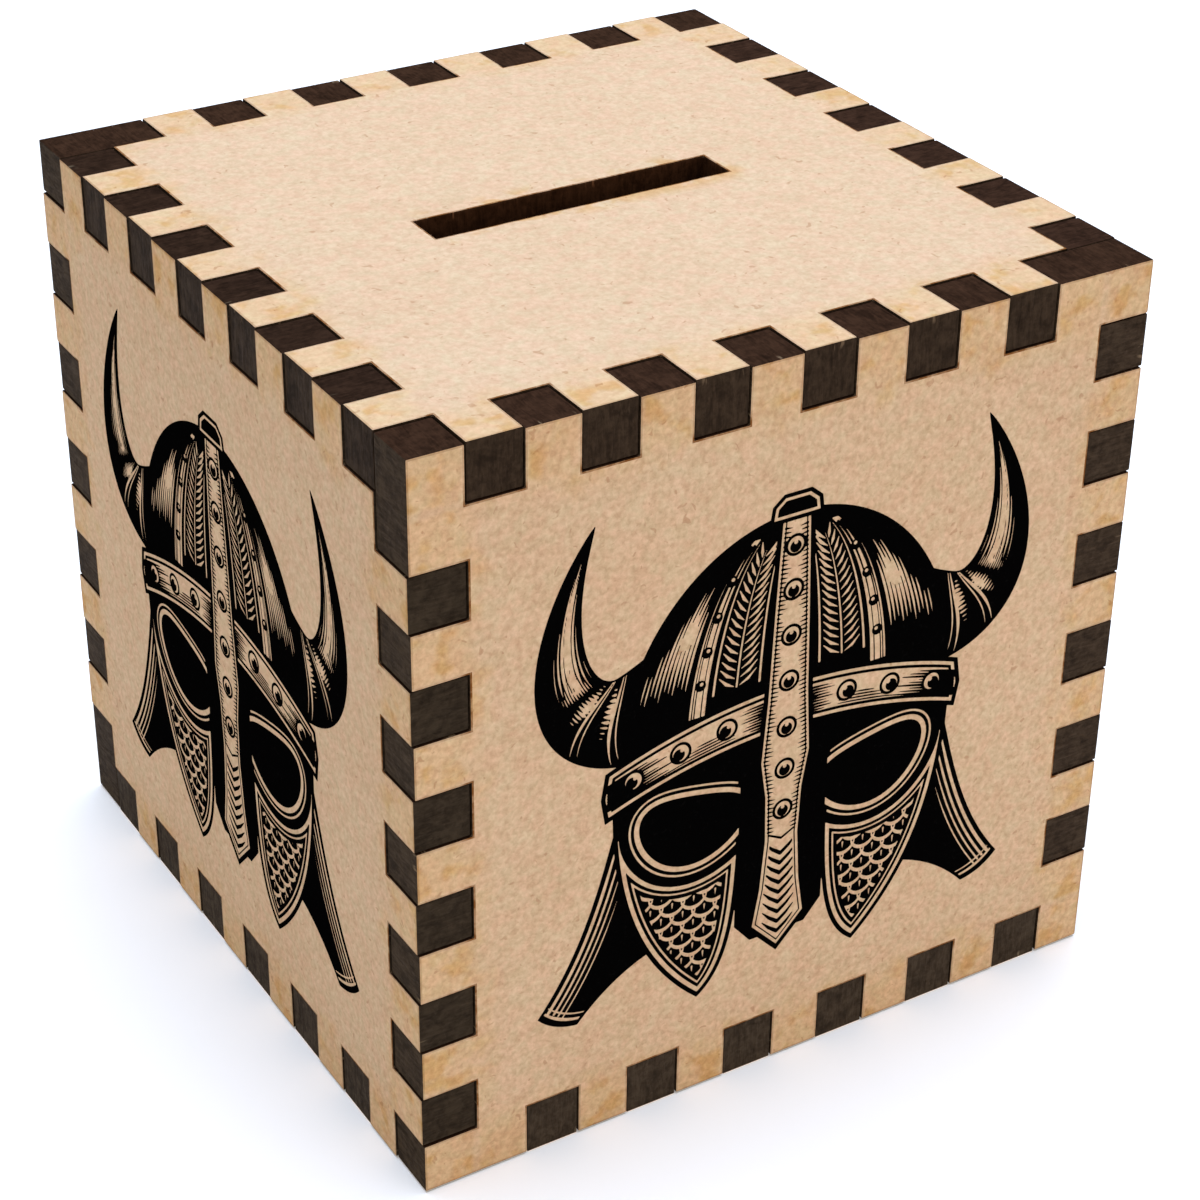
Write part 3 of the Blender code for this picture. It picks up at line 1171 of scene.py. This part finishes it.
def add_area_light(name, power, place, target, size, colour):
    """A round soft light of this diameter that looks at the target."""
    light = bpy.data.lights.new(name, "AREA")
    light.shape = "DISK"
    light.size = size
    light.energy = power
    light.color = colour
    obj = add_object(name, light)
    obj.location = place
    obj.rotation_euler = (Vector(target) - Vector(place)).to_track_quat("-Z", "Y").to_euler()


def floor_material(colour):
    """Matt white floor. It can't be seen from underneath, so that the base of the box can."""
    material, tree, shader, place, _ = new_material("floor_white")
    shade = add_noise(tree, place, 60 * MM)
    darker, lighter = tinted(colour, 0.99, 0.99, 0.99), tinted(colour, 1.01, 1.01, 1.01)
    feed(tree, shader.inputs["Base Color"], add_mix(tree, shade, darker, lighter))
    shader.inputs["Roughness"].default_value = 0.9
    shader.inputs["Emission Color"].default_value = WHITE
    shader.inputs["Emission Strength"].default_value = 0.2
    shader.inputs["Specular IOR Level"].default_value = 0.0
    geometry = tree.nodes.new("ShaderNodeNewGeometry")
    clear = tree.nodes.new("ShaderNodeBsdfTransparent")
    either = mix_shaders(tree, geometry.outputs["Backfacing"], shader, clear)
    tree.links.new(either, tree.nodes["Material Output"].inputs["Surface"])
    return material


def add_floor(look):
    """A wide floor. It casts no shadow, so that the light from below reaches the base."""
    mesh = bpy.data.meshes.new("floor")
    reach = FLOOR_REACH
    corners = [(-reach, -reach, 0), (reach, -reach, 0), (reach, reach, 0), (-reach, reach, 0)]
    mesh.from_pydata(corners, [], [(0, 1, 2, 3)])
    mesh.materials.append(floor_material(look.floor))
    floor = add_object("floor", mesh)
    floor.location.z = -FLOOR_DROP
    floor.visible_shadow = False


def add_camera(look):
    """The camera, aimed from its place at its target and rolled about its line of sight."""
    camera = add_object("camera", bpy.data.cameras.new("camera"))
    camera.data.lens = look.lens
    camera.data.sensor_width = 36.0
    camera.data.clip_start = 0.01
    place = Vector(look.camera_place)
    aim = (Vector(look.camera_target) - place).to_track_quat("-Z", "Y")
    camera.location = place
    camera.rotation_mode = "QUATERNION"
    camera.rotation_quaternion = aim @ Euler((0.0, 0.0, look.camera_roll)).to_quaternion()
    bpy.context.scene.camera = camera


def light_world(tree, strength):
    """Even warm light from all round, behind a plain white backdrop."""
    around = tree.nodes["Background"]
    around.inputs["Color"].default_value = colour4(SURROUNDINGS_COLOUR)
    around.inputs["Strength"].default_value = strength
    backdrop = tree.nodes.new("ShaderNodeBackground")
    backdrop.inputs["Color"].default_value = WHITE
    rays = tree.nodes.new("ShaderNodeLightPath")
    either = mix_shaders(tree, rays.outputs["Is Camera Ray"], around, backdrop)
    tree.links.new(either, tree.nodes["World Output"].inputs["Surface"])


class MONEYBOX_OT_build_stage(bpy.types.Operator):
    """Set up the white floor, the soft lights and the camera"""

    bl_idname = "moneybox.build_stage"
    bl_label = "Build Stage"

    def execute(self, context):
        look = context.scene.money_box_stage
        world = bpy.data.worlds.new("studio")
        world.use_nodes = True
        light_world(world.node_tree, look.surroundings)
        context.scene.world = world
        context.scene.view_settings.view_transform = "Standard"
        add_floor(look)
        add_area_light("overhead", look.overhead, *OVERHEAD)
        add_area_light("front_fill", look.front_fill, *FRONT_FILL)
        add_area_light("from_below", FROM_BELOW_POWER, *FROM_BELOW)
        add_camera(look)
        return {"FINISHED"}


# ---------------------------------------------------------------- panel and registration


class MONEYBOX_PT_tools(bpy.types.Panel):
    """Lists the steps that dress the money box"""

    bl_idname = "MONEYBOX_PT_tools"
    bl_label = "Money Box"
    bl_space_type = "VIEW_3D"
    bl_region_type = "UI"
    bl_category = "Money Box"

    def draw(self, context):
        for operator in OPERATORS:
            self.layout.operator(operator.bl_idname)
        for name, group in LOOKS.items():
            settings = getattr(context.scene, name)
            column = self.layout.column(align=True)
            for field in group.__annotations__:
                column.prop(settings, field)


LOOKS = {
    "money_box_boards": MoneyBoxBoardLook,
    "money_box_print": MoneyBoxPrintLook,
    "money_box_stopper": MoneyBoxStopperLook,
    "money_box_stage": MoneyBoxStageLook,
}
OPERATORS = (
    MONEYBOX_OT_finish_boards,
    MONEYBOX_OT_print_emblem,
    MONEYBOX_OT_finish_stopper,
    MONEYBOX_OT_build_stage,
)


def register():
    for name, group in LOOKS.items():
        bpy.utils.register_class(group)
        setattr(bpy.types.Scene, name, PointerProperty(type=group))
    for operator in OPERATORS:
        bpy.utils.register_class(operator)
    bpy.utils.register_class(MONEYBOX_PT_tools)


def unregister():
    bpy.utils.unregister_class(MONEYBOX_PT_tools)
    for operator in reversed(OPERATORS):
        bpy.utils.unregister_class(operator)
    for name, group in reversed(LOOKS.items()):
        delattr(bpy.types.Scene, name)
        bpy.utils.unregister_class(group)


def main():
    register()
    bpy.ops.moneybox.finish_boards()
    bpy.ops.moneybox.print_emblem()
    bpy.ops.moneybox.finish_stopper()
    bpy.ops.moneybox.build_stage()


if __name__ == "__main__":
    main()
